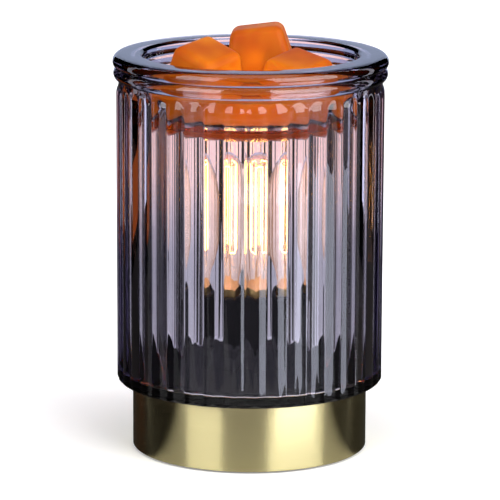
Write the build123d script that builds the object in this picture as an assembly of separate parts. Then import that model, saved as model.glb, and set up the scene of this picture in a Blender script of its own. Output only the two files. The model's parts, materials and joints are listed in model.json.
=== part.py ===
from build123d import *
import math
import os

# Electric wax melt warmer: a fluted glass shade on a brass-finish base, a screw-in filament bulb in the
# shade, and a glass dish of wax that rests on the shade's mouth. Millimetres, +Z up, origin on the surface
# that the feet stand on, on the axis of the round body. The front faces -Y and the cord inlet faces +Y.

# Base
foot_height = 2.0
foot_radius = 6.0
foot_rounding = 0.6
foot_inset = 12.4
foot_count = 4
base_radius = 50.4
base_height = 28.4
shell_bottom = 0.8
shell_wall = 1.0
shell_edge_radius = 0.9
shell_inner_rounding = 0.45
shell_rim_rounding = 0.4
cover_thickness = 2.0
cover_clearance = 0.3
post_radius = 3.6
post_inset = 17.4
post_count = 3
post_first_angle = 30.0
screw_radius = 1.5
screw_fit = 0.05
screw_head_overhang = 1.3
screw_head_height = 1.4
screw_head_rounding = 0.55
screw_slot_width = 0.8
screw_slot_depth = 0.7
screw_bite = 9.0

# Cord inlet
cord_bore_radius = 3.3
cord_room = 1.6
grommet_wall = 1.3
grommet_lip = 1.8
grommet_flange_thickness = 1.8
grommet_inner_length = 4.0
grommet_fit = 0.08
grommet_rounding = 0.6

# Shade
crest_radius = 57.1
reed_count = 40
reed_depth = 1.3
first_groove_angle = -2.0
shade_wall = 5.3
shade_height = 135.5
shade_floor = 3.0
shade_floor_fillet = 2.5
shade_bottom_round = 1.6
neck_inset = 1.0
reed_top_drop = 7.6
groove_runout = 6.5
neck_land = 2.0
bead_radius = 3.2
bead_overhang = 1.25
bead_drop = 2.4
gasket_thickness = 0.6
gasket_inset = 3.4
seat_gasket_thickness = 0.8
seat_gasket_inset = 2.0

# Dish and wax
flange_overhang = 1.55
flange_thickness = 5.8
flange_undercut = 0.6
bowl_clearance = 1.5
bowl_wall = 2.8
bowl_depth = 25.8
bowl_outer_draft = 1.0
bowl_inner_draft = 2.6
bowl_floor = 6.5
bowl_outer_fillet = 14.0
bowl_inner_fillet = 7.0
lip_rounding = 1.2
pool_depth = 10.5
pool_fit = 0.1

# Wax cubes: width of the top face, its middle (height counted from the dish's top), how far the cube is
# turned, how it leans towards the front and to the side, and the slope of its sides
cube_rounding = 3.0
cube_length = 40.0
left_cube_width = 21.0
left_cube_place = (-17.9, -17.5)
left_cube_rise = 4.2
left_cube_turn = 47.0
left_cube_lean = (20.0, 6.0)
left_cube_draft = 8.0
rear_cube_width = 22.0
rear_cube_place = (2.4, 23.5)
rear_cube_rise = 8.3
rear_cube_turn = -2.0
rear_cube_lean = (-2.0, -7.0)
rear_cube_draft = 11.0
right_cube_width = 21.5
right_cube_place = (20.2, -19.0)
right_cube_rise = 0.5
right_cube_turn = -40.0
right_cube_lean = (16.0, 2.0)
right_cube_draft = 8.0

# Leads
lead_radius = 1.0
lead_gap = 1.4
lead_hole_gap = 0.1
lead_drop = 4.0
lead_reach = 26.0
lead_spread = 8.0
lead_bend = 4.0
crimp_wall = 2.3
crimp_length = 15.0
crimp_bite = 8.0
crimp_fit = 0.1
crimp_rounding = 1.2

# Lampholder and its fixing
clamp_disc_gap = 0.6
clamp_disc_thickness = 1.2
clamp_disc_rounding = 0.6
nipple_room = 0.8
nipple_wall = 1.5
nipple_fit = 0.05
nipple_hole_gap = 0.5
nipple_bite = 7.0
nipple_tail = 2.0
nut_wall = 2.0
nut_height = 3.5
washer_width = 3.5
washer_thickness = 0.8
washer_tooth_count = 12
washer_tooth_depth = 1.2
holder_height = 33.0
holder_wall = 3.05
holder_foot_inset = 3.0
holder_foot_height = 6.0
holder_rounding = 1.2
holder_floor = 10.2
strip_thickness = 0.5
strip_width = 5.0
contact_reach = 9.3
contact_tip = 3.0
contact_rise = 2.75
contact_inset = 0.8
contact_clearance = 0.5
tab_width = 4.4
rivet_radius = 1.0
rivet_head_overhang = 0.8
rivet_head_height = 0.7
rivet_depth = 2.2
rivet_fit = 0.05
shell_gap = 0.3
shell_sheet = 0.4
shell_bead = 0.5
shell_rim_drop = 1.2

# Bulb
thread_pitch = 3.629
thread_turns = 4
cap_radius = 12.3
cap_ridge = 0.65
ridge_crest_width = 0.5
ridge_root_width = 1.8
first_ridge = 2.7
cap_wall = 0.4
cap_length = 18.2
cap_fit = 0.05
tip_gap = 0.2
tip_radius = 4.6
tip_height = 1.6
tip_rounding = 0.8
insulator_neck = 2.2
insulator_plug = 1.2
bulb_radius = 22.0
bulb_wall = 0.8
bulb_length = 57.5
neck_depth = 9.5
neck_rise = 3.5
shoulder_rise = 13.0
neck_fillet = 8.0
shoulder_fillet = 14.0
dome_fillet = 20.5
cap_glass_gap = 0.1
stem_flare_height = 1.0
stem_taper = 2.0
stem_rounding = 1.0
stem_radius = 4.2
stem_press_height = 21.0
stem_press_radius = 2.6
rod_radius = 1.1
button_radius = 2.0
button_height = 2.0
button_rounding = 0.6
cage_radius = 9.0
cage_rise = 4.0
cage_headroom = 4.5
cage_runs = 10
cage_opening = 40.0
filament_radius = 0.35
filament_bend = 0.9
support_radius = 0.25
support_gap = 0.12
lead_wire_radius = 0.4

# Sizes that follow from those
foot_ring_radius = base_radius - foot_inset
shell_inner_radius = base_radius - shell_wall
post_ring_radius = base_radius - post_inset
screw_head_radius = screw_radius + screw_head_overhang
grommet_neck_radius = cord_bore_radius + grommet_wall
grommet_flange_radius = grommet_neck_radius + grommet_lip
groove_radius = crest_radius - reed_depth
shade_inner_radius = groove_radius - shade_wall
gasket_radius = base_radius - gasket_inset
clamp_disc_radius = shade_inner_radius - shade_floor_fillet - clamp_disc_gap
seat_gasket_radius = clamp_disc_radius - seat_gasket_inset
flange_reach = crest_radius + flange_overhang
flange_round = (flange_thickness + flange_undercut) / 2
bowl_outer_radius = shade_inner_radius - bowl_clearance
bowl_bottom_radius = bowl_outer_radius - bowl_outer_draft
bowl_inner_radius = bowl_outer_radius - bowl_wall
bowl_inner_floor_radius = bowl_inner_radius - bowl_inner_draft
lead_offset = lead_radius + lead_gap / 2
crimp_radius = lead_radius + crimp_fit + crimp_wall
nipple_bore = lead_offset + lead_radius + nipple_room
nipple_radius = nipple_bore + nipple_wall
nipple_hole = nipple_radius + nipple_hole_gap
washer_radius = nipple_radius + washer_width
cap_crest = cap_radius + cap_ridge
shell_inner = cap_crest + shell_gap
holder_cup_radius = shell_inner + shell_sheet + shell_bead + shell_gap
holder_radius = holder_cup_radius + holder_wall
holder_foot_radius = holder_radius - holder_foot_inset
rivet_offset = (contact_inset + contact_reach) / 2
shell_flange_inner = math.hypot(contact_reach + strip_thickness / 2, strip_width / 2) + contact_clearance
glass_neck_radius = cap_radius - cap_wall - cap_glass_gap

# Levels that the pieces stack up to
shell_top = shell_bottom + base_height
cover_bottom = foot_height
cover_top = cover_bottom + cover_thickness
cord_height = cover_top + grommet_flange_radius + cord_room
plate_underside = shell_top - shell_wall
shade_bottom = shell_top + gasket_thickness
shade_mouth = shade_bottom + shade_height
floor_top = shade_bottom + shade_floor
clamp_bottom = floor_top + seat_gasket_thickness
holder_bottom = clamp_bottom + clamp_disc_thickness
holder_top = holder_bottom + holder_height
holder_seat = holder_bottom + holder_floor
nut_top = plate_underside - washer_thickness
nut_bottom = nut_top - nut_height
nipple_bottom = nut_bottom - nipple_tail
nipple_top = holder_bottom + nipple_bite
dish_top = shade_mouth + flange_thickness
bowl_bottom = shade_mouth - bowl_depth
bowl_inside = bowl_bottom + bowl_floor
pool_top = bowl_inside + pool_depth
leaf_top = holder_seat + strip_thickness + contact_rise
tip_bottom = leaf_top + tip_gap
tip_top = tip_bottom + tip_height
cap_bottom = tip_top + insulator_neck
cap_top = cap_bottom + cap_length
glass_bottom = cap_top - neck_depth
bulb_top = cap_top + bulb_length
press_top = glass_bottom + stem_press_height
cage_bottom = press_top + cage_rise
cage_top = bulb_top - cage_headroom


def disc(radius, bottom, top, hole=0.0):
    """A round plate between two heights, with an optional round hole."""
    face = Circle(radius)
    if hole:
        face -= Circle(hole)
    return Pos(0, 0, bottom) * extrude(face, top - bottom)


def turned(points, radii):
    """A solid turned about Z from a closed outline of (radius, height) corners, each with its rounding."""
    outline = FilletPolyline(*points, radius=radii, close=True)
    return revolve(make_face(Plane.XZ * outline), Axis.Z)


def rod_between(start, end, radius):
    """A round rod from one point to another."""
    axis = Vector(end) - Vector(start)
    return Plane(origin=start, z_dir=axis) * Pos(0, 0, axis.length / 2) * Cylinder(radius, axis.length)


def ring_places(count, radius, first_angle=0.0):
    """Places evenly round the axis."""
    return PolarLocations(radius, count, start_angle=first_angle)


def place_on_ring(radius, angle, height):
    """The point at an angle and height on a ring round the axis."""
    return (
        radius * math.cos(math.radians(angle)),
        radius * math.sin(math.radians(angle)),
        height,
    )


def base_shell():
    """Drawn brass-finish cup, open below, with the nipple's hole on top and the cord's hole at the back."""
    cup = turned(
        [
            (nipple_hole, shell_top),
            (base_radius, shell_top),
            (base_radius, shell_bottom),
            (shell_inner_radius, shell_bottom),
            (shell_inner_radius, plate_underside),
            (nipple_hole, plate_underside),
        ],
        [0, shell_edge_radius, shell_rim_rounding, 0, shell_inner_rounding, 0],
    )
    cord_hole = Plane(origin=(0, base_radius, cord_height), z_dir=(0, 1, 0))
    return cup - cord_hole * Cylinder(grommet_neck_radius + grommet_fit, base_radius)


def cover_posts():
    """Posts under the top plate that the bottom cover is screwed to."""
    post = disc(post_radius, cover_top, plate_underside)
    hole = disc(screw_radius + screw_fit, cover_top, cover_top + screw_bite + screw_fit)
    return ring_places(post_count, post_ring_radius, post_first_angle) * (post - hole)


def bottom_cover():
    """Round plate that closes the base."""
    plate = disc(shell_inner_radius - cover_clearance, cover_bottom, cover_top)
    hole = disc(screw_radius + screw_fit, cover_bottom, cover_top)
    for place in ring_places(post_count, post_ring_radius, post_first_angle):
        plate -= place * hole
    return plate


def cover_screws():
    """Slotted pan-head screws, one into each post."""
    head_bottom = cover_bottom - screw_head_height
    head = disc(screw_head_radius, head_bottom, cover_bottom)
    head = fillet(head.edges().group_by(Axis.Z)[0], screw_head_rounding)
    slot = Pos(0, 0, head_bottom) * Box(
        2 * screw_head_radius + screw_slot_width, screw_slot_width, 2 * screw_slot_depth
    )
    screw = head - slot + disc(screw_radius, cover_bottom, cover_top + screw_bite)
    return ring_places(post_count, post_ring_radius, post_first_angle) * screw


def rubber_feet():
    """Round pads stuck under the cover."""
    pad = disc(foot_radius, 0, foot_height)
    pad = fillet(pad.edges().group_by(Axis.Z)[0], foot_rounding)
    return [place * pad for place in ring_places(foot_count, foot_ring_radius, 180 / foot_count)]


def cord_grommet():
    """Rubber bush in the shell's back wall, with a flange on each side of the curved wall."""
    outer_face = base_radius + grommet_fit
    inner_face = math.sqrt(shell_inner_radius**2 - grommet_flange_radius**2) - grommet_fit
    bush_start = inner_face - grommet_inner_length
    bush_end = outer_face + grommet_flange_thickness
    outline = FilletPolyline(
        (cord_bore_radius, bush_start),
        (grommet_flange_radius, bush_start),
        (grommet_flange_radius, inner_face),
        (grommet_neck_radius, inner_face),
        (grommet_neck_radius, outer_face),
        (grommet_flange_radius, outer_face),
        (grommet_flange_radius, bush_end),
        (cord_bore_radius, bush_end),
        radius=[0, grommet_rounding, 0, 0, 0, 0, grommet_rounding, 0],
        close=True,
    )
    bush = revolve(make_face(Plane.XZ * outline), Axis.Z)
    return Plane(origin=(0, 0, cord_height), z_dir=(0, 1, 0)) * bush


def base_gasket():
    """Soft ring between the base and the glass."""
    return disc(gasket_radius, shell_top, shade_bottom, nipple_hole)


def reeds(top_height, top_radius):
    """Upright round rods that make the wall's outside. Their ball ends cut the top radius at the top height."""
    half_pitch = math.radians(180 / reed_count)
    half_width = groove_radius * math.sin(half_pitch)
    rise = crest_radius - groove_radius * math.cos(half_pitch)
    rod_radius = (half_width**2 + rise**2) / (2 * rise)
    axis_radius = crest_radius - rod_radius
    shoulder = top_height - math.sqrt(rod_radius**2 - (top_radius - axis_radius) ** 2)
    side = Polyline((0, shoulder + rod_radius), (0, shade_bottom), (rod_radius, shade_bottom), (rod_radius, shoulder))
    ball_end = CenterArc((0, shoulder), rod_radius, 0, 90)
    rod = revolve(make_face(Plane.XZ * (side + ball_end)), Axis.Z)
    return ring_places(reed_count, axis_radius, first_groove_angle + 180 / reed_count) * rod


def bead_face(centre_radius, centre_height, radius, below, above, inner):
    """Half section of a rounded bead, cut off flat at a distance below and above its centre."""
    start_angle = -math.degrees(math.asin(below / radius))
    end_angle = math.degrees(math.asin(above / radius))
    arc = CenterArc((centre_radius, centre_height), radius, start_angle, end_angle - start_angle)
    top = (inner, centre_height + above)
    bottom = (inner, centre_height - below)
    sides = Polyline(arc @ 1, top, bottom, arc @ 0)
    return make_face(Plane.XZ * (arc + sides))


def fluted_shade():
    """Pressed glass tumbler: reeded wall, bead round the mouth, floor with the nipple's hole."""
    neck_radius = crest_radius - neck_inset
    bead_centre = crest_radius + bead_overhang - bead_radius
    bead_height = shade_mouth - bead_drop
    bead_foot = math.sqrt(bead_radius**2 - (neck_radius - bead_centre) ** 2)
    neck_height = bead_height - bead_foot
    wall_middle = groove_radius - shade_wall / 2
    core = disc(wall_middle, shade_bottom, neck_height)
    envelope = turned(
        [(0, shade_bottom), (crest_radius, shade_bottom), (crest_radius, neck_height), (0, neck_height)],
        [0, shade_bottom_round, 0, 0],
    )
    wall = (core + reeds(shade_mouth - reed_top_drop, neck_radius)) & envelope
    neck = turned(
        [
            (wall_middle, neck_height - groove_runout),
            (groove_radius, neck_height - groove_runout),
            (neck_radius, neck_height - neck_land),
            (neck_radius, neck_height),
            (wall_middle, neck_height),
        ],
        [0, 0, neck_land, 0, 0],
    )
    bead = revolve(
        bead_face(bead_centre, bead_height, bead_radius, bead_foot, bead_drop, wall_middle), Axis.Z
    )
    inside = turned(
        [
            (0, floor_top),
            (shade_inner_radius, floor_top),
            (shade_inner_radius, shade_mouth + bead_radius),
            (0, shade_mouth + bead_radius),
        ],
        [0, shade_floor_fillet, 0, 0],
    )
    hole = disc(nipple_hole, shade_bottom, floor_top)
    return wall + neck + bead - inside - hole


def seat_gasket():
    """Soft washer on the glass floor, under the clamp disc."""
    return disc(seat_gasket_radius, floor_top, clamp_bottom, nipple_hole)


def clamp_disc():
    """Black steel disc that covers the glass floor and spreads the nipple's pull over it."""
    plate = disc(clamp_disc_radius, clamp_bottom, holder_bottom, nipple_radius + nipple_fit)
    rim = plate.edges().group_by(Axis.Z)[-1].sort_by(SortBy.LENGTH)[-1]
    return fillet(rim, clamp_disc_rounding)


def threaded_nipple():
    """Hollow stud that the lampholder screws on to and the leads run through."""
    return disc(nipple_radius, nipple_bottom, nipple_top, nipple_bore)


def nipple_nut():
    """Hexagon nut under the base's top plate."""
    hexagon = RegularPolygon(nipple_radius + nut_wall, 6, major_radius=False)
    hexagon -= Circle(nipple_radius + nipple_fit)
    return Pos(0, 0, nut_bottom) * extrude(hexagon, nut_height)


def tooth_washer():
    """Toothed lock washer between the nut and the top plate."""
    ring = disc(washer_radius, nut_top, plate_underside, nipple_radius + nipple_fit)
    notch = disc(washer_tooth_depth, nut_top, plate_underside)
    for place in ring_places(washer_tooth_count, washer_radius):
        ring -= place * notch
    return ring


def lampholder_body():
    """Black moulded holder: a foot that takes the nipple, and a cup for the screw shell."""
    body = turned(
        [
            (0, holder_bottom),
            (holder_foot_radius, holder_bottom),
            (holder_foot_radius, holder_bottom + holder_foot_height),
            (holder_radius, holder_bottom + holder_floor),
            (holder_radius, holder_top),
            (holder_cup_radius, holder_top),
            (holder_cup_radius, holder_seat),
            (0, holder_seat),
        ],
        [0, holder_rounding, holder_rounding, holder_rounding, holder_rounding, 0, 0, 0],
    )
    body -= disc(nipple_radius + nipple_fit, holder_bottom, nipple_top)
    for side in (-1, 1):
        body -= Pos(side * lead_offset, 0, 0) * disc(lead_radius + lead_hole_gap, nipple_top, holder_seat)
        body -= Pos(side * rivet_offset, 0, 0) * disc(
            rivet_radius + rivet_fit, holder_seat - rivet_depth - rivet_fit, holder_seat
        )
    return body


def screw_shell():
    """Rolled brass shell of the lampholder, with the tab that the neutral lead meets."""
    flange_top = holder_seat + strip_thickness
    rim = holder_top - shell_rim_drop
    wave = [
        (shell_bead * (index % 2), cap_bottom + index * thread_pitch / 2)
        for index in range(2 * thread_turns + 1)
    ]
    outside = [(shell_inner + shell_sheet + out, height) for out, height in wave]
    inside = [(shell_inner + out, height) for out, height in reversed(wave)]
    outline = Polyline(
        (shell_flange_inner, holder_seat),
        (shell_inner + shell_sheet, holder_seat),
        *outside,
        (shell_inner + shell_sheet, rim),
        (shell_inner, rim),
        *inside,
        (shell_inner, flange_top),
        (shell_flange_inner, flange_top),
        close=True,
    )
    shell = revolve(make_face(Plane.XZ * outline), Axis.Z)
    tab_length = shell_flange_inner + shell_sheet - contact_inset
    tab_middle = contact_inset + tab_length / 2
    tab = Pos(tab_middle, 0, holder_seat + strip_thickness / 2) * Box(
        tab_length, tab_width, strip_thickness
    )
    rivet_hole = Pos(rivet_offset, 0, 0) * disc(rivet_radius + rivet_fit, holder_seat, flange_top)
    return shell + tab - rivet_hole


def centre_contact():
    """Bent brass leaf that meets the bulb's tip and the live lead."""
    half = strip_thickness / 2
    middle = holder_seat + half
    line = Polyline(
        (-contact_inset, middle),
        (-contact_reach, middle),
        (-contact_reach, leaf_top - half),
        (contact_tip, leaf_top - half),
    )
    strip = trace(line, strip_thickness)
    leaf = extrude(Plane.XZ * strip, strip_width / 2, both=True)
    rivet_hole = Pos(-rivet_offset, 0, 0) * disc(
        rivet_radius + rivet_fit, holder_seat, holder_seat + strip_thickness
    )
    return leaf - rivet_hole


def holder_rivets():
    """Rivets that hold the leaf and the screw shell's tab."""
    head_bottom = holder_seat + strip_thickness
    rivet = disc(rivet_radius, holder_seat - rivet_depth, head_bottom)
    rivet += disc(rivet_radius + rivet_head_overhang, head_bottom, head_bottom + rivet_head_height)
    return [Pos(side * rivet_offset, 0, 0) * rivet for side in (-1, 1)]


def lead_points(side):
    """Corners of a lead's run: down through the nipple, then back towards the cord inlet."""
    low = nipple_bottom - lead_drop
    return [
        (side * lead_offset, 0, holder_seat),
        (side * lead_offset, 0, low),
        (side * lead_spread, lead_reach, low),
    ]


def lead(side):
    """Insulated lead from the lampholder to its crimp cap."""
    points = lead_points(side)
    path = FilletPolyline(*points, radius=lead_bend)
    section = Plane(origin=points[0], z_dir=(0, 0, -1)) * Circle(lead_radius)
    return sweep(section, path=path)


def crimp_caps():
    """Closed caps on the ends of the leads, where the cord's wires join them."""
    caps = []
    for side in (-1, 1):
        corner, end = lead_points(side)[1:]
        axis = (Vector(end) - Vector(corner)).normalized()
        cap = Cylinder(crimp_radius, crimp_length, align=(Align.CENTER, Align.CENTER, Align.MIN))
        cap = fillet(cap.edges().filter_by(GeomType.CIRCLE), crimp_rounding)
        cap -= Cylinder(
            lead_radius + crimp_fit, crimp_bite, align=(Align.CENTER, Align.CENTER, Align.MIN)
        )
        caps.append(Plane(origin=Vector(end) - axis * crimp_bite, z_dir=axis) * cap)
    return caps


def bulb_contact():
    """Solder-tipped centre contact of the bulb."""
    return turned(
        [(0, tip_bottom), (tip_radius, tip_bottom), (tip_radius, tip_top), (0, tip_top)],
        [0, tip_rounding, 0, 0],
    )


def bulb_insulator():
    """Black glass cone between the contact and the cap."""
    plug_radius = cap_radius - cap_wall - cap_fit
    return turned(
        [
            (0, tip_top),
            (tip_radius, tip_top),
            (plug_radius, cap_bottom),
            (plug_radius, cap_bottom + insulator_plug),
            (0, cap_bottom + insulator_plug),
        ],
        [0, 0, 0, 0, 0],
    )


def bulb_cap():
    """Screw cap of the bulb, with its thread as rolled ridges."""
    cap = disc(cap_radius, cap_bottom, cap_top, cap_radius - cap_wall)
    sunk = cap_radius - cap_wall / 2
    for turn in range(thread_turns):
        height = cap_bottom + first_ridge + turn * thread_pitch
        outline = Polyline(
            (sunk, height - ridge_root_width / 2),
            (cap_radius, height - ridge_root_width / 2),
            (cap_crest, height - ridge_crest_width / 2),
            (cap_crest, height + ridge_crest_width / 2),
            (cap_radius, height + ridge_root_width / 2),
            (sunk, height + ridge_root_width / 2),
            close=True,
        )
        cap += revolve(make_face(Plane.XZ * outline), Axis.Z)
    return cap


def bulb_body(inset):
    """The bulb's outline as a solid, drawn in by an inset."""
    neck = glass_neck_radius - inset
    belly = bulb_radius - inset
    bend = cap_top + neck_rise
    return turned(
        [
            (0, glass_bottom - inset),
            (neck, glass_bottom - inset),
            (neck, bend),
            (belly, bend + shoulder_rise),
            (belly, bulb_top - inset),
            (0, bulb_top - inset),
        ],
        [0, 0, neck_fillet + inset, shoulder_fillet - inset, dome_fillet - inset, 0],
    )


def bulb_glass():
    """Clear envelope, open at its neck where the stem closes it."""
    return bulb_body(0) - bulb_body(bulb_wall)


def bulb_stem():
    """Glass stem: a flare that closes the neck, the press that holds the wires, and the support rod."""
    flare = glass_neck_radius - bulb_wall - cap_glass_gap
    column = turned(
        [
            (0, glass_bottom),
            (flare, glass_bottom),
            (flare, glass_bottom + stem_flare_height),
            (stem_radius, glass_bottom + stem_flare_height + stem_taper),
            (stem_press_radius, press_top),
            (0, press_top),
        ],
        [0, 0, 0, stem_rounding, 0, 0],
    )
    rod = disc(rod_radius, press_top, cage_top)
    button = disc(button_radius, cage_top - button_height, cage_top)
    return column + rod + fillet(button.edges(), button_rounding)


def cage_angles():
    """Angles of the filament's upright runs, with the feed gap at the back."""
    step = (360 - cage_opening) / (cage_runs - 1)
    return [90 + cage_opening / 2 + step * index for index in range(cage_runs)]


def filament():
    """One wire that runs up and down round the cage."""
    points = []
    for index, angle in enumerate(cage_angles()):
        ends = (cage_bottom, cage_top) if index % 2 == 0 else (cage_top, cage_bottom)
        points += [place_on_ring(cage_radius, angle, height) for height in ends]
    path = FilletPolyline(*points, radius=filament_bend)
    section = Plane(origin=points[0], z_dir=(0, 0, 1)) * Circle(filament_radius)
    return sweep(section, path=path)


def filament_supports():
    """Spokes from the stem's button and rod that hold the filament's bends."""
    angles = cage_angles()
    reach = cage_radius * math.cos(math.radians((angles[1] - angles[0]) / 2))
    reach -= filament_radius + support_gap
    spokes = []
    for index in range(cage_runs - 1):
        angle = (angles[index] + angles[index + 1]) / 2
        start = place_on_ring(rod_radius + support_gap, angle, cage_bottom)
        end = place_on_ring(reach, angle, cage_bottom)
        if index % 2 == 0:
            start = place_on_ring(button_radius + support_gap, angle, cage_top - button_height / 2)
            end = place_on_ring(reach, angle, cage_top)
        spokes.append(rod_between(start, end, support_radius))
    return spokes


def lead_in_wires():
    """Wires from the press to the two ends of the filament."""
    wires = []
    for angle in (cage_angles()[0], cage_angles()[-1]):
        start = place_on_ring(stem_press_radius - 2 * lead_wire_radius, angle, press_top + lead_wire_radius)
        end = place_on_ring(cage_radius, angle, cage_bottom - filament_radius)
        wires.append(rod_between(start, end, lead_wire_radius))
    return wires


def wax_dish():
    """Thick glass bowl with a flange that rests on the shade's mouth."""
    flange = revolve(
        bead_face(
            flange_reach - flange_round,
            dish_top - flange_round,
            flange_round,
            flange_thickness - flange_round,
            flange_round,
            bowl_inner_radius,
        ),
        Axis.Z,
    )
    bowl = turned(
        [
            (0, bowl_bottom),
            (bowl_bottom_radius, bowl_bottom),
            (bowl_outer_radius, shade_mouth),
            (bowl_outer_radius, dish_top),
            (0, dish_top),
        ],
        [0, bowl_outer_fillet, 0, 0, 0],
    )
    lip = dish_top - lip_rounding
    hollow = turned(
        [
            (0, bowl_inside),
            (bowl_inner_floor_radius, bowl_inside),
            (bowl_inner_radius, lip),
            (bowl_inner_radius + lip_rounding, dish_top),
            (bowl_inner_radius + lip_rounding, dish_top + lip_rounding),
            (0, dish_top + lip_rounding),
        ],
        [0, bowl_inner_fillet, lip_rounding, 0, 0, 0],
    )
    return flange + bowl - hollow


def wax_pool():
    """Set wax that fills the bottom of the bowl."""
    draft = (bowl_inner_radius - bowl_inner_floor_radius) / (dish_top - lip_rounding - bowl_inside)
    top_radius = bowl_inner_floor_radius + draft * pool_depth - pool_fit
    return turned(
        [
            (0, bowl_inside),
            (bowl_inner_floor_radius - pool_fit, bowl_inside),
            (top_radius, pool_top),
            (0, pool_top),
        ],
        [0, bowl_inner_fillet, 0, 0],
    )


def wax_cube(width, place, rise, turn, lean, draft):
    """Tapered wax cube with soft edges, sunk into the pool and cut off level with it."""
    lower = width + 2 * cube_length * math.tan(math.radians(draft))
    block = loft([Pos(0, 0, -cube_length) * Rectangle(lower, lower), Rectangle(width, width)])
    block = fillet(block.edges().group_by(Axis.Z)[1] + block.edges().group_by(Axis.Z)[2], cube_rounding)
    top = Pos(place[0], place[1], dish_top + rise)
    placed = top * Rotation(lean[0], lean[1], 0) * Rotation(0, 0, turn) * block
    reach = 2 * (flange_reach + cube_length)
    below = Pos(0, 0, pool_top - cube_length) * Box(reach, reach, 2 * cube_length)
    return placed - below


def build():
    """Every piece by its name."""
    pieces = {
        "base_shell": base_shell(),
        "cover_posts": cover_posts(),
        "bottom_cover": bottom_cover(),
        "cover_screws": cover_screws(),
        "cord_grommet": cord_grommet(),
        "base_gasket": base_gasket(),
        "fluted_shade": fluted_shade(),
        "seat_gasket": seat_gasket(),
        "clamp_disc": clamp_disc(),
        "threaded_nipple": threaded_nipple(),
        "nipple_nut": nipple_nut(),
        "tooth_washer": tooth_washer(),
        "lampholder_body": lampholder_body(),
        "screw_shell": screw_shell(),
        "centre_contact": centre_contact(),
        "holder_rivets": holder_rivets(),
        "live_lead": lead(-1),
        "neutral_lead": lead(1),
        "crimp_caps": crimp_caps(),
        "bulb_contact": bulb_contact(),
        "bulb_insulator": bulb_insulator(),
        "bulb_cap": bulb_cap(),
        "bulb_glass": bulb_glass(),
        "bulb_stem": bulb_stem(),
        "filament": filament(),
        "filament_supports": filament_supports(),
        "lead_in_wires": lead_in_wires(),
        "wax_dish": wax_dish(),
        "wax_pool": wax_pool(),
        "wax_cube_left": wax_cube(
            left_cube_width,
            left_cube_place,
            left_cube_rise,
            left_cube_turn,
            left_cube_lean,
            left_cube_draft,
        ),
        "wax_cube_rear": wax_cube(
            rear_cube_width,
            rear_cube_place,
            rear_cube_rise,
            rear_cube_turn,
            rear_cube_lean,
            rear_cube_draft,
        ),
        "wax_cube_right": wax_cube(
            right_cube_width,
            right_cube_place,
            right_cube_rise,
            right_cube_turn,
            right_cube_lean,
            right_cube_draft,
        ),
    }
    for number, foot in enumerate(rubber_feet(), start=1):
        pieces[f"rubber_foot_{number}"] = foot
    return pieces


os.makedirs("parts", exist_ok=True)
for name, piece in build().items():
    shapes = piece if isinstance(piece, list) else [piece]
    solids = [solid for shape in shapes for solid in shape.solids()]
    export_step(solids[0] if len(solids) == 1 else Compound(solids), f"parts/{name}.step")
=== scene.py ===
import json
import math

import bmesh
import bpy
from mathutils import Euler, Matrix, Vector


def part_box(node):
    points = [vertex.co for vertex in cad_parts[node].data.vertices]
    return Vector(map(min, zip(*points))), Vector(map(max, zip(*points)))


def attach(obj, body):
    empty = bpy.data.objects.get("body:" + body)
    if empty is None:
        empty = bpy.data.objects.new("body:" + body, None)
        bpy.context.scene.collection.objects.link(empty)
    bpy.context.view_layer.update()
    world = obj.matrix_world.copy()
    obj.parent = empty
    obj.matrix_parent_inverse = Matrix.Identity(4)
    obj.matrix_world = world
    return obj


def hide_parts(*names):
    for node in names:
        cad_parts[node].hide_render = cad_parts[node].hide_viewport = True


# Looks of the wax melt warmer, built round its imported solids. Sizes are in millimetres, as in the part's
# own source, and MM turns them into Blender's metres.
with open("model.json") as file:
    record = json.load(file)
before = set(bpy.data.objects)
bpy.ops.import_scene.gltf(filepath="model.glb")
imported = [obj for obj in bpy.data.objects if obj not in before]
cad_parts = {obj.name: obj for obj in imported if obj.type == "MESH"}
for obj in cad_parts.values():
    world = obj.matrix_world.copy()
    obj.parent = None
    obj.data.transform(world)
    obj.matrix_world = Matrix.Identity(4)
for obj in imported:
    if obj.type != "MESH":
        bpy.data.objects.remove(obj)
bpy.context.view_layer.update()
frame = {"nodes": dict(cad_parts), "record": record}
nodes = frame["nodes"]
MM = 0.001


def heights(node):
    """Lowest and highest level of a CAD node, in millimetres."""
    low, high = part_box(node)
    return low.z / MM, high.z / MM


# Levels and reaches read from the solids
shade_bottom, shade_mouth = heights("fluted_shade")
bowl_bottom, dish_top = heights("wax_dish")
bowl_inside, pool_top = heights("wax_pool")
glass_bottom, bulb_top = heights("bulb_glass")
flange_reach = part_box("wax_dish")[1].x / MM
bulb_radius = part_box("bulb_glass")[1].x / MM

# Shade
REED_COUNT = 40
FIRST_GROOVE = math.radians(-2.0)
CREST_RADIUS = 57.1
REED_DEPTH = 1.3
REED_BLEND = 0.45
REED_TOP_DROP = 7.6
SHADE_INNER_RADIUS = 50.5
SHADE_FLOOR = 3.0
SHADE_FLOOR_FILLET = 2.5
NIPPLE_HOLE = 5.5
BOTTOM_ROUND = 1.6
NECK_INSET = 1.0
NECK_LAND = 2.0
GROOVE_RUNOUT = 6.5
BEAD_RADIUS = 3.2
BEAD_OVERHANG = 1.25
BEAD_DROP = 2.4
MOUTH_ROUND = 0.5

# Dish and the wax set in it
FLANGE_ROUND = 3.2
FLANGE_UNDER_ROUND = 2.3
SEAT_ROUND = 0.4
BOWL_OUTER_RADIUS = 49.0
BOWL_BOTTOM_RADIUS = 48.0
BOWL_INNER_RADIUS = 46.2
BOWL_INNER_FLOOR_RADIUS = 43.6
BOWL_OUTER_FILLET = 14.0
BOWL_INNER_FILLET = 7.0
LIP_ROUND = 1.2
LIP_EASE = 0.6
POOL_FIT = 0.1
POOL_TOP_RADIUS = 44.6
MENISCUS_RISE = 0.5
MENISCUS_WIDTH = 2.0
MENISCUS_ROUND = 1.5

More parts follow.
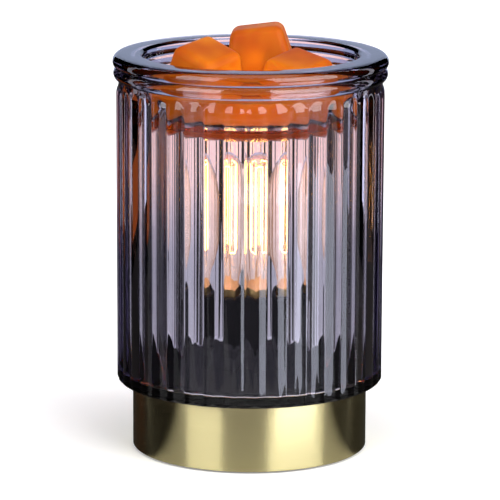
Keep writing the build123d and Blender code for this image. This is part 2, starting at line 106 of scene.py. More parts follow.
# Wax cubes: width, middle of the top face, its rise above the dish, and turn, lean and slope in degrees
CUBE_LENGTH = 40.0
CUBE_ROUND = 3.4
CUBES = {
    "left": (21.0, (-17.9, -17.5), 4.2, 47.0, (20.0, 6.0), 8.0),
    "rear": (22.0, (2.4, 23.5), 8.3, -2.0, (-2.0, -7.0), 11.0),
    "right": (21.5, (20.2, -19.0), 0.5, -40.0, (16.0, 2.0), 8.0),
}

# Bulb
GLASS_NECK_RADIUS = 11.8
BULB_WALL = 0.8
CAP_TOP = 70.45
NECK_RISE = 3.5
SHOULDER_RISE = 13.0
NECK_FILLET = 8.0
SHOULDER_FILLET = 14.0
DOME_FILLET = 20.5

# Finishes: depth and shading of a fine grain, and the strength of the wax's painted glow, which stands in
# for the bulb's light shining through it
GRAIN_DEPTH = 0.05
GRAIN_SHADE = 0.82
GRAIN_ROUGHNESS_SPREAD = 0.15
CUBE_PAINTED_GLOW = 0.12
POOL_PAINTED_GLOW = 0.29

# Fineness of the meshes
STEPS_PER_REED = 24
ARC_STEPS = 8
NECK_RINGS = 32
TURN_STEPS = 256
SMALL_TURN_STEPS = 128
CUBE_ROUND_STEPS = 6
CUBE_CUTS = 3
MERGE_GAP = 0.0005
ON_AXIS = 0.0001
SHARP_ANGLE = math.radians(38)

# Camera: the roll is in radians
CAMERA_PLACE = Vector((0.0, -1436.7, 393.1)) * MM
CAMERA_AIM = Vector((0.0, 0.0, 85.6)) * MM
CAMERA_ROLL = 0.004
LENS = 246.4
SENSOR_WIDTH = 36.0
FARTHEST_SEEN = 100.0

# Studio, in metres: levels, reaches, then the lines and outlines of its panels on the floor
SWEEP_BACK = 1.4
SWEEP_TOP = 1.8
FLAG_TOP = 0.7
STRIP_FOOT = 0.06
STRIP_TOP = 0.6
CARD_FOOT = 0.036
CARD_TOP = 0.08
MAT_LIFT = 0.0002
FRONT_STRIP_LIFT = 0.001
FLOOR_REACH = 20.0
SHADOW_NEAR = 0.05
SHADOW_FAR = 0.24
BACKLIGHT_NEAR = 0.28
BACKLIGHT_FAR = 0.62
SWEEP_LINE = [(-0.6, SWEEP_BACK), (0.6, SWEEP_BACK)]
LEFT_FLAG_LINE = [(-0.24, -0.12), (-0.46, SWEEP_BACK)]
RIGHT_FLAG_LINE = [(0.26, -0.09), (0.46, SWEEP_BACK)]
LEFT_STRIP_LINE = [(-0.218, 0.05), (-0.232, 0.09)]
RIGHT_STRIP_LINE = [(0.218, 0.05), (0.232, 0.09)]
WARM_CARD_LINE = [(-0.225, 0.1), (-0.26, 0.4)]
LEFT_MAT = [(-0.045, -0.028), (-0.24, -0.13), (-0.46, SWEEP_BACK), (-0.3, SWEEP_BACK), (-0.06, 0.1)]
RIGHT_MAT = [(0.048, -0.02), (0.26, -0.09), (0.46, SWEEP_BACK), (0.3, SWEEP_BACK), (0.06, 0.1)]
FRONT_MAT = [(-0.3, -0.2), (0.3, -0.2), (0.9, -1.2), (-0.9, -1.2)]
FRONT_STRIP = [(0.075, -0.175), (0.165, -0.09), (0.66, -0.36), (0.3, -0.68)]


def linear(colour):
    """Linear RGBA of an sRGB hex colour."""
    channels = [int(colour[start:start + 2], 16) / 255 for start in (0, 2, 4)]
    return [c / 12.92 if c <= 0.04045 else ((c + 0.055) / 1.055) ** 2.4 for c in channels] + [1.0]


def add(tree, kind, inputs=None, **properties):
    """Adds one node. An input given as a socket is linked, any other value is set."""
    node = tree.nodes.new(kind)
    for name, value in properties.items():
        setattr(node, name, value)
    for name, value in (inputs or {}).items():
        if isinstance(value, bpy.types.NodeSocket):
            tree.links.new(value, node.inputs[name])
        else:
            node.inputs[name].default_value = value
    return node


def new_material(name):
    """An empty material, its node tree, its output and its Object coordinates."""
    material = bpy.data.materials.new(name)
    material.use_nodes = True
    tree = material.node_tree
    tree.nodes.clear()
    output = add(tree, "ShaderNodeOutputMaterial")
    place = add(tree, "ShaderNodeTexCoord").outputs["Object"]
    return material, tree, output, place


def per_metre(millimetres):
    """Texture scale of a pattern that repeats over that size."""
    return 1 / (millimetres * MM)


def lit_through(tree, glass, tint):
    """Surface of a glass that lets the light of lamps pass straight and tinted to what is behind it."""
    lamps = add(tree, "ShaderNodeLightPath").outputs["Is Shadow Ray"]
    passing = add(tree, "ShaderNodeBsdfTransparent", {"Color": linear(tint)})
    surface = add(tree, "ShaderNodeMixShader", {0: lamps, 1: glass.outputs[0], 2: passing.outputs[0]})
    return surface.outputs[0]


def smoked_glass():
    """Pressed soda-lime glass coloured through: thick parts go darker, and the skin is faintly rippled."""
    material, tree, output, place = new_material("smoked_pressed_glass")
    drawn = add(tree, "ShaderNodeMapping", {"Vector": place, "Scale": (1.0, 1.0, 0.3)})
    ripple = add(
        tree,
        "ShaderNodeTexNoise",
        {"Vector": drawn.outputs[0], "Scale": per_metre(9), "Detail": 1.0},
    )
    bump = add(
        tree,
        "ShaderNodeBump",
        {"Height": ripple.outputs["Fac"], "Strength": 0.06, "Distance": 0.6 * MM},
    )
    glass = add(
        tree,
        "ShaderNodeBsdfPrincipled",
        {
            "Base Color": linear("ffffff"),
            "Roughness": 0.0,
            "IOR": 1.52,
            "Transmission Weight": 1.0,
            "Normal": bump.outputs["Normal"],
        },
    )
    smoke = add(tree, "ShaderNodeVolumeAbsorption", {"Color": linear("b9b2cc"), "Density": 72.0})
    tree.links.new(lit_through(tree, glass, "e2dee6"), output.inputs["Surface"])
    tree.links.new(smoke.outputs[0], output.inputs["Volume"])
    return material


def clear_glass():
    """Blown lamp glass: thin and smooth, with a faint painted glow that stands in for the bloom of the
    filament's light behind it.
    """
    material, tree, output, place = new_material("clear_lamp_glass")
    wave = add(tree, "ShaderNodeTexNoise", {"Vector": place, "Scale": per_metre(20), "Detail": 1.0})
    bump = add(
        tree,
        "ShaderNodeBump",
        {"Height": wave.outputs["Fac"], "Strength": 0.1, "Distance": 0.3 * MM},
    )
    glass = add(
        tree,
        "ShaderNodeBsdfPrincipled",
        {
            "Base Color": linear("fdfcf8"),
            "Roughness": 0.0,
            "IOR": 1.47,
            "Transmission Weight": 1.0,
            # Painted glow: the glass itself gives out a faint warm light for the filament's bloom
            "Emission Color": linear("ffc4a0"),
            "Emission Strength": 0.11,
            "Normal": bump.outputs["Normal"],
        },
    )
    tree.links.new(lit_through(tree, glass, "fdfcf8"), output.inputs["Surface"])
    return material


def brushed_brass():
    """Brass plating brushed round the base: fine lines along the wall, highlights drawn out across them."""
    material, tree, output, place = new_material("brushed_brass_plating")
    # The lines are half a millimetre apart, coarser than real ones, so that they show
    squeeze = add(tree, "ShaderNodeMapping", {"Vector": place, "Scale": (1.0, 1.0, 60.0)})
    lines = add(
        tree,
        "ShaderNodeTexNoise",
        {"Vector": squeeze.outputs[0], "Scale": per_metre(30), "Detail": 4.0, "Roughness": 0.7},
    )
    rough = add(
        tree,
        "ShaderNodeMapRange",
        {"Value": lines.outputs["Fac"], "To Min": 0.2, "To Max": 0.3},
    )
    bump = add(
        tree,
        "ShaderNodeBump",
        {"Height": lines.outputs["Fac"], "Strength": 0.12, "Distance": 0.15 * MM},
    )
    round_wall = add(tree, "ShaderNodeTangent", direction_type="RADIAL", axis="Z")
    metal = add(
        tree,
        "ShaderNodeBsdfPrincipled",
        {
            "Base Color": linear("e4d8a2"),
            "Metallic": 1.0,
            "Roughness": rough.outputs[0],
            "Anisotropic": 1.0,
            "Anisotropic Rotation": 0.25,
            "Normal": bump.outputs["Normal"],
            "Tangent": round_wall.outputs[0],
        },
    )
    tree.links.new(metal.outputs[0], output.inputs["Surface"])
    return material


def wax(name, glow):
    """Scented paraffin wax: cloudy and soft with an uneven skin. Light comes out of it warmer; its emission
    is painted glow for the bulb's light.
    """
    material, tree, output, place = new_material(name)
    clouds = add(tree, "ShaderNodeTexNoise", {"Vector": place, "Scale": per_metre(24), "Detail": 2.0})
    cloud = add(
        tree,
        "ShaderNodeMapRange",
        {"Value": clouds.outputs["Fac"], "From Min": 0.32, "From Max": 0.68},
        interpolation_type="SMOOTHSTEP",
    )
    tone = add(
        tree,
        "ShaderNodeMixRGB",
        {"Fac": cloud.outputs[0], "Color1": linear("983c04"), "Color2": linear("c06a0a")},
    )
    skin = add(tree, "ShaderNodeTexNoise", {"Vector": place, "Scale": per_metre(2.5), "Detail": 3.0})
    bump = add(
        tree,
        "ShaderNodeBump",
        {"Height": skin.outputs["Fac"], "Strength": 0.18, "Distance": 0.4 * MM},
    )
    body = add(
        tree,
        "ShaderNodeBsdfPrincipled",
        {
            "Base Color": tone.outputs[0],
            "Roughness": 0.5,
            "IOR": 1.44,
            "Specular IOR Level": 0.15,
            # Painted glow: emission that stands in for the bulb's light shining through the wax
            "Emission Color": linear("ff8418"),
            "Emission Strength": glow,
            "Subsurface Weight": 1.0,
            "Subsurface Radius": (1.0, 0.45, 0.12),
            "Subsurface Scale": 7.0 * MM,
            "Normal": bump.outputs["Normal"],
        },
    )
    tree.links.new(body.outputs[0], output.inputs["Surface"])
    return material


def plain_surface(name, colour, roughness, grain, metallic=0.0, specular=0.5):
    """A moulded, painted or drawn surface: one colour that varies a little, with a grain of that size."""
    material, tree, output, place = new_material(name)
    # The grain is drawn coarser than a real one, so that it shows
    grains = add(tree, "ShaderNodeTexNoise", {"Vector": place, "Scale": per_metre(grain), "Detail": 3.0})
    tone = add(
        tree,
        "ShaderNodeMixRGB",
        {
            "Fac": grains.outputs["Fac"],
            "Color1": [c * GRAIN_SHADE for c in linear(colour)[:3]] + [1.0],
            "Color2": linear(colour),
        },
    )
    rough = add(
        tree,
        "ShaderNodeMapRange",
        {
            "Value": grains.outputs["Fac"],
            "To Min": roughness * (1 - GRAIN_ROUGHNESS_SPREAD),
            "To Max": min(1.0, roughness * (1 + GRAIN_ROUGHNESS_SPREAD)),
        },
    )
    bump = add(
        tree,
        "ShaderNodeBump",
        {"Height": grains.outputs["Fac"], "Strength": 0.3, "Distance": GRAIN_DEPTH * MM},
    )
    body = add(
        tree,
        "ShaderNodeBsdfPrincipled",
        {
            "Base Color": tone.outputs[0],
            "Metallic": metallic,
            "Roughness": rough.outputs[0],
            "Specular IOR Level": specular,
            "Normal": bump.outputs["Normal"],
        },
    )
    tree.links.new(body.outputs[0], output.inputs["Surface"])
    return material


def glowing_tungsten():
    """Drawn tungsten at working heat: it gives out the bulb's warm light."""
    material, tree, output, _ = new_material("glowing_tungsten_wire")
    body = add(
        tree,
        "ShaderNodeBsdfPrincipled",
        {
            "Base Color": linear("5a4a3c"),
            "Roughness": 0.5,
            "Emission Color": linear("ffb256"),
            "Emission Strength": 18.0,
        },
    )
    tree.links.new(body.outputs[0], output.inputs["Surface"])
    return material


materials = {
    "brass_finish": brushed_brass(),
    "smoked_glass": smoked_glass(),
    "wax": wax("orange_paraffin_wax", CUBE_PAINTED_GLOW),
    "clear_glass": clear_glass(),
    "filament_wire": glowing_tungsten(),
    # Drawn wire: grey metal with a soft shine
    "support_wire": plain_surface("drawn_molybdenum_wire", "a8a39c", 0.35, grain=1.5, metallic=1.0),
    # Thin brass rolled into a thread: dull gold
    "cap_metal": plain_surface("rolled_cap_brass", "c9ab6b", 0.32, grain=2.0, metallic=1.0),
    # Glass that is cast into the cap: black and glossy
    "black_glass": plain_surface("black_vitrite", "0d0d0f", 0.15, grain=3.0),
    # Pressed resin: dull black that hardly shines
    "black_moulding": plain_surface("black_phenolic_moulding", "0a0a0b", 0.6, grain=0.8, specular=0.1),
    # Baked paint: dead black
    "black_steel": plain_surface("matt_black_paint", "050506", 0.8, grain=0.6, specular=0.02),
    # Strip brass from the press: yellow and fairly bright
    "contact_brass": plain_surface("stamped_spring_brass", "c79f55", 0.3, grain=2.0, metallic=1.0),
    # Plating: cool grey with a soft shine
    "zinc_steel": plain_surface("zinc_plated_steel", "b9bab8", 0.35, grain=1.5, metallic=1.0),
    # Moulded rubber: black without shine
    "black_rubber": plain_surface("moulded_black_rubber", "121212", 0.8, grain=0.5),
    # Braided sleeve: off-white and dry
    "lead_insulation": plain_surface("woven_glass_sleeving", "dad8cf", 0.75, grain=0.7),
    # Moulded nylon: white with a slight shine
    "crimp_plastic": plain_surface("white_nylon", "e4e4df", 0.45, grain=1.2),
}
# The wax set over the bulb gets a stronger painted glow than the cubes, for the bulb's light right under it
painted_glow_wax = wax("painted_glow_paraffin_wax", POOL_PAINTED_GLOW)


def new_object(bm, name, material):
    """Object made from a bmesh, with its material, in the scene."""
    mesh = bpy.data.meshes.new(name)
    bm.to_mesh(mesh)
    bm.free()
    mesh.materials.append(material)
    obj = bpy.data.objects.new(name, mesh)
    bpy.context.scene.collection.objects.link(obj)
    return obj


def finish_piece(bm, name, body, slot, *replaced, material=None):
    """Makes the piece's object with its material, the slot's unless one is given, hangs it on its body and
    hides the CAD nodes that it stands for.
    """
    bmesh.ops.remove_doubles(bm, verts=bm.verts[:], dist=MERGE_GAP * MM)
    bmesh.ops.recalc_face_normals(bm, faces=bm.faces[:])
    piece = new_object(bm, name, material or materials[slot])
    piece.data.shade_smooth()
    piece.data.set_sharp_from_angle(angle=SHARP_ANGLE)
    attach(piece, body)
    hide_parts(*replaced)


def turned_mesh(corners, steps=TURN_STEPS):
    """A body turned about Z from (radius, height, rounding) corners, each rounded as given."""
    bm = bmesh.new()
    verts = [bm.verts.new((radius * MM, 0, height * MM)) for radius, height, _ in corners]
    bm.faces.new(verts)
    count = len(corners)
    for index, (radius, height, rounding) in enumerate(corners):
        if not rounding:
            continue
        here = Vector((radius, height))
        to_last = Vector(corners[index - 1][:2]) - here
        to_next = Vector(corners[(index + 1) % count][:2]) - here
        reach = rounding / math.tan(to_last.angle(to_next) / 2)
        bmesh.ops.bevel(
            bm,
            geom=[verts[index]],
            affect="VERTICES",
            offset=reach * MM,
            offset_type="OFFSET",
            segments=ARC_STEPS,
            profile=0.5,
            material=-1,
        )
    bmesh.ops.delete(bm, geom=bm.faces[:], context="FACES_ONLY")
    axis_edges = [edge for edge in bm.edges if all(abs(vert.co.x) < ON_AXIS * MM for vert in edge.verts)]
    bmesh.ops.delete(bm, geom=axis_edges, context="EDGES_FACES")
    bmesh.ops.spin(
        bm,
        geom=bm.verts[:] + bm.edges[:],
        cent=(0, 0, 0),
        axis=(0, 0, 1),
        angle=2 * math.pi,
        steps=steps,
        use_merge=True,
    )
    return bm


def spaced(first, last, steps):
    """Values evenly spaced from the first to the last."""
    return [first + (last - first) * step / steps for step in range(steps + 1)]


def soft_max(first, second):
    """The larger of two radii, blended where they meet."""
    return (first + second + math.hypot(first - second, REED_BLEND)) / 2


def rod_sizes():
    """Radius of the upright rods that the reeds are cut from, and their axes' distance from the middle."""
    half_pitch = math.pi / REED_COUNT
    groove = CREST_RADIUS - REED_DEPTH
    half_width = groove * math.sin(half_pitch)
    rise = CREST_RADIUS - groove * math.cos(half_pitch)
    rod = (half_width**2 + rise**2) / (2 * rise)
    return rod, CREST_RADIUS - rod


ROD_RADIUS, ROD_AXIS = rod_sizes()
NECK_RADIUS = CREST_RADIUS - NECK_INSET
REED_SHOULDER = shade_mouth - REED_TOP_DROP - math.sqrt(ROD_RADIUS**2 - (NECK_RADIUS - ROD_AXIS) ** 2)


def rod_reach(angle, height):
    """How far out one rod reaches at an angle from its crest. Above the shoulder it ends in a ball."""
    above = max(height - REED_SHOULDER, 0.0)
    depth = ROD_RADIUS**2 - above**2 - (ROD_AXIS * math.sin(angle)) ** 2
    return ROD_AXIS * math.cos(angle) + math.sqrt(max(depth, 0.0))


def reeded_radius(angle, height):
    """Radius of the reeded wall: round reeds that meet in narrow grooves."""
    pitch = 2 * math.pi / REED_COUNT
    from_crest = abs((angle - FIRST_GROOVE) / pitch % 1 - 0.5) * pitch
    return soft_max(rod_reach(from_crest, height), rod_reach(pitch - from_crest, height))


def shade_levels():
    """Levels of the shade's skin from the hole, up the outside and down the inside.

    Each has its height, its plain radius, and the largest radius of its reeds or None where it has none.
    """
    groove = CREST_RADIUS - REED_DEPTH
    bead_centre = CREST_RADIUS + BEAD_OVERHANG - BEAD_RADIUS
    bead_height = shade_mouth - BEAD_DROP
    neck_height = bead_height - math.sqrt(BEAD_RADIUS**2 - (NECK_RADIUS - bead_centre) ** 2)
    runout = neck_height - GROOVE_RUNOUT
    levels = [(shade_bottom, NIPPLE_HOLE, None), (shade_bottom, groove - BOTTOM_ROUND, None)]
    for turn in spaced(0, math.pi / 2, ARC_STEPS):
        height = shade_bottom + BOTTOM_ROUND * (1 - math.cos(turn))
        levels.append((height, 0.0, CREST_RADIUS - BOTTOM_ROUND * (1 - math.sin(turn))))
    for height in spaced(runout, neck_height, NECK_RINGS):
        climb = min((height - runout) / (neck_height - NECK_LAND - runout), 1.0)
        levels.append((height, groove + (NECK_RADIUS - groove) * climb, CREST_RADIUS))
    first = math.asin((neck_height - bead_height) / BEAD_RADIUS)
    last = math.asin(BEAD_DROP / BEAD_RADIUS)
    for turn in spaced(first, last, 2 * ARC_STEPS)[1:]:
        height = bead_height + BEAD_RADIUS * math.sin(turn)
        levels.append((height, bead_centre + BEAD_RADIUS * math.cos(turn), None))
    levels.append((shade_mouth, SHADE_INNER_RADIUS + MOUTH_ROUND, None))
    levels.append((shade_mouth - MOUTH_ROUND, SHADE_INNER_RADIUS, None))
    inner_floor = shade_bottom + SHADE_FLOOR
    for turn in spaced(0, math.pi / 2, ARC_STEPS):
        height = inner_floor + SHADE_FLOOR_FILLET * (1 - math.sin(turn))
        levels.append((height, SHADE_INNER_RADIUS - SHADE_FLOOR_FILLET * (1 - math.cos(turn)), None))
    levels.append((inner_floor, NIPPLE_HOLE, None))
    levels.append(levels[0])
    return levels


def level_radius(angle, height, radius, limit):
    """Radius at one angle of a level: plain, or reeded up to the limit and never under the plain radius."""
    if limit is None:
        return radius
    reeded = min(reeded_radius(angle, height), limit)
    return soft_max(reeded, radius) if radius else reeded


def fluted_shade():
    """Pressed tumbler with round reeds that end under the bead of its mouth."""
    bm = bmesh.new()
    levels = shade_levels()
    ring = bmesh.ops.create_circle(
        bm, cap_ends=False, radius=levels[0][1] * MM, segments=REED_COUNT * STEPS_PER_REED
    )["verts"]
    bmesh.ops.rotate(bm, verts=ring, cent=(0, 0, 0), matrix=Matrix.Rotation(FIRST_GROOVE, 3, "Z"))
    bmesh.ops.translate(bm, verts=ring, vec=(0, 0, levels[0][0] * MM))
    edges = bm.edges[:]
    for height, radius, limit in levels[1:]:
        made = bmesh.ops.extrude_edge_only(bm, edges=edges)["geom"]
        edges = [item for item in made if isinstance(item, bmesh.types.BMEdge)]
        for vert in [item for item in made if isinstance(item, bmesh.types.BMVert)]:
            angle = math.atan2(vert.co.y, vert.co.x)
            reach = level_radius(angle, height, radius, limit) * MM
            vert.co = (reach * math.cos(angle), reach * math.sin(angle), height * MM)
    finish_piece(bm, "shade_glass", "base", "smoked_glass", "fluted_shade")


def wax_dish():
    """Thick bowl with a rounded flange that rests on the shade's mouth."""
    bm = turned_mesh(
        [
            (0, bowl_bottom, 0),
            (BOWL_BOTTOM_RADIUS, bowl_bottom, BOWL_OUTER_FILLET),
            (BOWL_OUTER_RADIUS, shade_mouth, SEAT_ROUND),
            (flange_reach, shade_mouth, FLANGE_UNDER_ROUND),
            (flange_reach, dish_top, FLANGE_ROUND),
            (BOWL_INNER_RADIUS + LIP_ROUND, dish_top, LIP_EASE),
            (BOWL_INNER_RADIUS, dish_top - LIP_ROUND, LIP_EASE),
            (BOWL_INNER_FLOOR_RADIUS, bowl_inside, BOWL_INNER_FILLET),
            (0, bowl_inside, 0),
        ]
    )
    finish_piece(bm, "dish_glass", "dish", "smoked_glass", "wax_dish")


def wax_pool():
    """Set wax in the bowl, drawn up a little where it wets the glass."""
    bm = turned_mesh(
        [
            (0, bowl_inside, 0),
            (BOWL_INNER_FLOOR_RADIUS - POOL_FIT, bowl_inside, BOWL_INNER_FILLET),
            (POOL_TOP_RADIUS, pool_top + MENISCUS_RISE, 0),
            (POOL_TOP_RADIUS - MENISCUS_WIDTH, pool_top, MENISCUS_ROUND),
            (0, pool_top, 0),
        ],
        SMALL_TURN_STEPS,
    )
    finish_piece(bm, "set_wax", "dish", "wax", "wax_pool", material=painted_glow_wax)


def wax_cube(name):
    """Cast wax cube with soft, slightly slumped edges, set into the pool."""
    width, place, rise, turn, lean, draft = CUBES[name]
    bm = bmesh.new()
    bmesh.ops.create_cube(bm, size=1.0)
    lower = width + 2 * CUBE_LENGTH * math.tan(math.radians(draft))
    for vert in bm.verts:
        side = width if vert.co.z > 0 else lower
        vert.co = Vector((vert.co.x * side, vert.co.y * side, 0.0 if vert.co.z > 0 else -CUBE_LENGTH)) * MM
    # The edges of the lower face stay sharp, because the pool cuts them off
    edges = [edge for edge in bm.edges if any(vert.co.z == 0 for vert in edge.verts)]
    bmesh.ops.bevel(
        bm,
        geom=edges,
        affect="EDGES",
        offset=CUBE_ROUND * MM,
        segments=CUBE_ROUND_STEPS,
        profile=0.5,
        material=-1,
    )
    bmesh.ops.subdivide_edges(bm, edges=bm.edges[:], cuts=CUBE_CUTS, use_grid_fill=True)
    placed = (
        Matrix.Translation(Vector((place[0], place[1], dish_top + rise)) * MM)
        @ Euler((math.radians(lean[0]), math.radians(lean[1]), 0)).to_matrix().to_4x4()
        @ Matrix.Rotation(math.radians(turn), 4, "Z")
    )
    bmesh.ops.transform(bm, matrix=placed, verts=bm.verts[:])
    cut = bmesh.ops.bisect_plane(
        bm,
        geom=bm.verts[:] + bm.edges[:] + bm.faces[:],
        plane_co=(0, 0, pool_top * MM),
        plane_no=(0, 0, 1),
        clear_inner=True,
    )["geom_cut"]
    bmesh.ops.holes_fill(bm, edges=[item for item in cut if isinstance(item, bmesh.types.BMEdge)])
    finish_piece(bm, f"cube_{name}", f"{name}_cube", "wax", f"wax_cube_{name}")


def bulb_profile(inset):
    """Corners of the bulb's outline, drawn in by an inset."""
    bend = CAP_TOP + NECK_RISE
    neck = GLASS_NECK_RADIUS - inset
    belly = bulb_radius - inset
    return [
        (neck, glass_bottom, 0),
        (neck, bend, NECK_FILLET + inset),
        (belly, bend + SHOULDER_RISE, SHOULDER_FILLET - inset),
        (belly, bulb_top - inset, DOME_FILLET - inset),
        (0, bulb_top - inset, 0),
    ]


def bulb_glass():
    """Clear blown envelope, open at the neck."""
    bm = turned_mesh(bulb_profile(0) + bulb_profile(BULB_WALL)[::-1], SMALL_TURN_STEPS)
    finish_piece(bm, "bulb_envelope", "bulb", "clear_glass", "bulb_glass")


for part in frame["record"]["subparts"]:
    mesh = nodes[part["node"]].data
    mesh.materials.clear()
    mesh.materials.append(materials[part["material_slot"]])

fluted_shade()
wax_dish()
wax_pool()
for cube in CUBES:
    wax_cube(cube)
bulb_glass()


def aimed(obj, target):
    """Turns a lamp or camera towards a point."""
    obj.rotation_euler = (target - obj.location).to_track_quat("-Z", "Y").to_euler()


def new_lamp(name, kind, power, place, target):
    """Lamp at a place, turned towards a point and hidden from the camera."""
    lamp = bpy.data.lights.new(name, kind)
    lamp.energy = power
    obj = bpy.data.objects.new(name, lamp)
    bpy.context.scene.collection.objects.link(obj)
    obj.location = place
    aimed(obj, target)
    obj.visible_camera = False
    return obj


def softbox(name, angle, distance, height, width, tall, power):
    """Studio softbox at an angle round the object, counted from the camera's side towards the right."""
    turn = math.radians(angle)
    place = (distance * math.sin(turn), -distance * math.cos(turn), height)
    box = new_lamp(name, "AREA", power, place, Vector((0, 0, height / 2)))
    box.data.shape = "RECTANGLE"
    box.data.size = width
    box.data.size_y = tall


def warm_spot(name, place, target, colour, power, angle, radius):
    """Spot of the bulb's light on the wax. It is never seen itself."""
    spot = new_lamp(name, "SPOT", power, Vector(place) * MM, Vector(target) * MM)
    spot.data.color = linear(colour)[:3]
    spot.data.spot_size = math.radians(angle)
    spot.data.spot_blend = 1.0
    spot.data.shadow_soft_size = radius * MM
    spot.visible_glossy = False
    spot.visible_transmission = False


def panel(name, corners, colour, strength):
    """Flat studio panel between its corners: it lights or darkens what the glass and the metal show."""
    material, tree, output, _ = new_material(name)
    light = add(tree, "ShaderNodeEmission", {"Color": linear(colour), "Strength": strength})
    tree.links.new(light.outputs[0], output.inputs["Surface"])
    bm = bmesh.new()
    bmesh.ops.contextual_create(bm, geom=[bm.verts.new(corner) for corner in corners])
    obj = new_object(bm, name, material)
    obj.visible_camera = False
    obj.visible_diffuse = False
    obj.visible_shadow = False
    return obj


def upright(name, line, low, high, colour, strength):
    """Upright panel over a line on the floor."""
    start, end = line
    corners = [(*start, low), (*end, low), (*end, high), (*start, high)]
    panel(name, corners, colour, strength)


def lying(name, outline, lift, colour, strength):
    """Mat or strip that lies on the floor, lifted a little off it."""
    return panel(name, [(*point, lift) for point in outline], colour, strength)


def floor():
    """Plain white floor that keeps the object's shadow, with painted shade round the base. Through the
    glass it is lit from behind, painted warm far back for the bulb's glow.
    """
    material, tree, output, place = new_material("white_floor")
    path = add(tree, "ShaderNodeLightPath").outputs
    back = add(tree, "ShaderNodeSeparateXYZ", {"Vector": place}).outputs["Y"]
    far = add(
        tree,
        "ShaderNodeMapRange",
        {"Value": back, "From Min": BACKLIGHT_NEAR, "From Max": BACKLIGHT_FAR},
        interpolation_type="SMOOTHSTEP",
    )
    # Far back the glass shows the floor warm pink: a painted glow that stands in for the bulb's light in
    # the glass
    tint = add(
        tree,
        "ShaderNodeMixRGB",
        {"Fac": far.outputs[0], "Color1": linear("e2e0f6"), "Color2": linear("ffd4ca")},
    )
    # Near the object the floor's camera-seen glow fades, so the cast shadow shows, with some painted shade
    # round the base as well
    away = add(tree, "ShaderNodeVectorMath", {0: place}, operation="LENGTH")
    lit = add(
        tree,
        "ShaderNodeMapRange",
        {
            "Value": away.outputs["Value"],
            "From Min": SHADOW_NEAR,
            "From Max": SHADOW_FAR,
            "To Min": 0.22,
            "To Max": 1.0,
        },
    )
    behind = add(tree, "ShaderNodeMapRange", {"Value": far.outputs[0], "To Min": 0.5, "To Max": 1.55})
    through = add(
        tree,
        "ShaderNodeMath",
        {0: path["Is Transmission Ray"], 1: behind.outputs[0]},
        operation="MULTIPLY",
    )
    seen = add(tree, "ShaderNodeMath", {0: path["Is Camera Ray"], 1: lit.outputs[0]}, operation="MULTIPLY")
    level = add(tree, "ShaderNodeMath", {0: seen.outputs[0], 1: through.outputs[0]}, operation="ADD")
    hue = add(
        tree,
        "ShaderNodeMixRGB",
        {"Fac": path["Is Transmission Ray"], "Color1": linear("ffffff"), "Color2": tint.outputs[0]},
    )
    glow = add(tree, "ShaderNodeEmission", {"Color": hue.outputs[0], "Strength": level.outputs[0]})
    paint = add(
        tree,
        "ShaderNodeMixRGB",
        {"Fac": path["Is Glossy Ray"], "Color1": linear("f2f2f2"), "Color2": linear("a4a4a4")},
    )
    matt = add(tree, "ShaderNodeBsdfDiffuse", {"Color": paint.outputs[0]})
    both = add(tree, "ShaderNodeAddShader", {0: glow.outputs[0], 1: matt.outputs[0]})
    tree.links.new(both.outputs[0], output.inputs["Surface"])
    bm = bmesh.new()
    bmesh.ops.create_grid(bm, x_segments=1, y_segments=1, size=FLOOR_REACH)
    new_object(bm, "floor", material)


def studio_world():
    """White surroundings for the camera, a dim room for everything else."""
    world = bpy.data.worlds.new("studio")
    bpy.context.scene.world = world
    world.use_nodes = True
    tree = world.node_tree
    tree.nodes.clear()
    path = add(tree, "ShaderNodeLightPath").outputs["Is Camera Ray"]
    level = add(tree, "ShaderNodeMapRange", {"Value": path, "To Min": 0.03, "To Max": 1.0})
    sky = add(tree, "ShaderNodeBackground", {"Color": (1, 1, 1, 1), "Strength": level.outputs[0]})
    add(tree, "ShaderNodeOutputWorld", {"Surface": sky.outputs[0]})


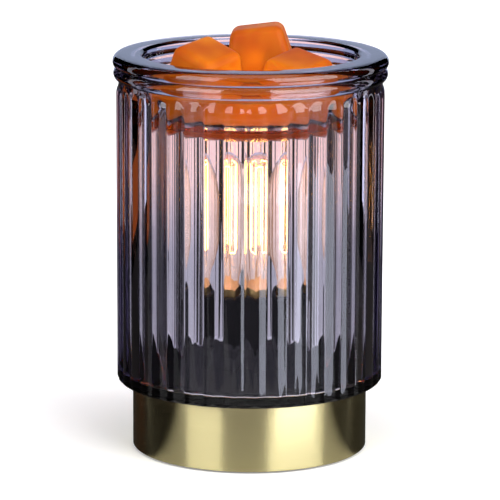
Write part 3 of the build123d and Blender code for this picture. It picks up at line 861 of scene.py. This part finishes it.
def photo_camera():
    """Camera of the main view, far off with a long lens."""
    camera = bpy.data.objects.new("camera", bpy.data.cameras.new("camera"))
    bpy.context.scene.collection.objects.link(camera)
    camera.data.lens = LENS
    camera.data.sensor_width = SENSOR_WIDTH
    camera.data.clip_end = FARTHEST_SEEN
    camera.location = CAMERA_PLACE
    aimed(camera, CAMERA_AIM)
    camera.rotation_euler.rotate_axis("Z", CAMERA_ROLL)
    bpy.context.scene.camera = camera


floor()
studio_world()
# Dark flags and mats draw the dark edges of the glass and the metal, and bright strips their light ones
upright("back_sweep", SWEEP_LINE, 0.0, SWEEP_TOP, "b4c0e0", 1.2)
upright("left_flag", LEFT_FLAG_LINE, 0.0, FLAG_TOP, "000000", 0.0)
upright("right_flag", RIGHT_FLAG_LINE, 0.0, FLAG_TOP, "000000", 0.0)
lying("left_mat", LEFT_MAT, MAT_LIFT, "262422", 1.0)
lying("right_mat", RIGHT_MAT, MAT_LIFT, "363430", 1.0)
lying("front_mat", FRONT_MAT, MAT_LIFT, "504e54", 1.0)
upright("left_strip", LEFT_STRIP_LINE, STRIP_FOOT, STRIP_TOP, "e8ecff", 1.6)
upright("right_strip", RIGHT_STRIP_LINE, STRIP_FOOT, STRIP_TOP, "e8ecff", 2.2)
# The reeds at the far left show this one as a warm streak
upright("warm_card", WARM_CARD_LINE, CARD_FOOT, CARD_TOP, "d06428", 0.6)
# The reeds mirror this one, and it never shows through the glass
front_strip = lying("front_strip", FRONT_STRIP, FRONT_STRIP_LIFT, "e8ecff", 5.5)
front_strip.visible_transmission = False
softbox("left_softbox", angle=-45, distance=1.2, height=0.7, width=0.85, tall=1.2, power=14)
softbox("right_softbox", angle=47, distance=1.2, height=0.7, width=1.4, tall=1.2, power=29)
softbox("top_softbox", angle=0, distance=0.2, height=1.3, width=1.0, tall=1.0, power=4)
warm_spot(
    "bulb_glow",
    place=(0, 0, 108),
    target=(0, 0, bowl_bottom),
    colour="ffa858",
    power=1.5,
    angle=96,
    radius=9,
)
warm_spot(
    "front_glow",
    place=(0, -600, 146),
    target=(0, -46, 149),
    colour="ffe49a",
    power=75,
    angle=5,
    radius=4,
)
photo_camera()

scene = bpy.context.scene
scene.view_settings.view_transform = "Standard"
# Light passes many walls of glass on its way
scene.cycles.max_bounces = 28
scene.cycles.transmission_bounces = 28
scene.cycles.glossy_bounces = 10
scene.cycles.transparent_max_bounces = 32
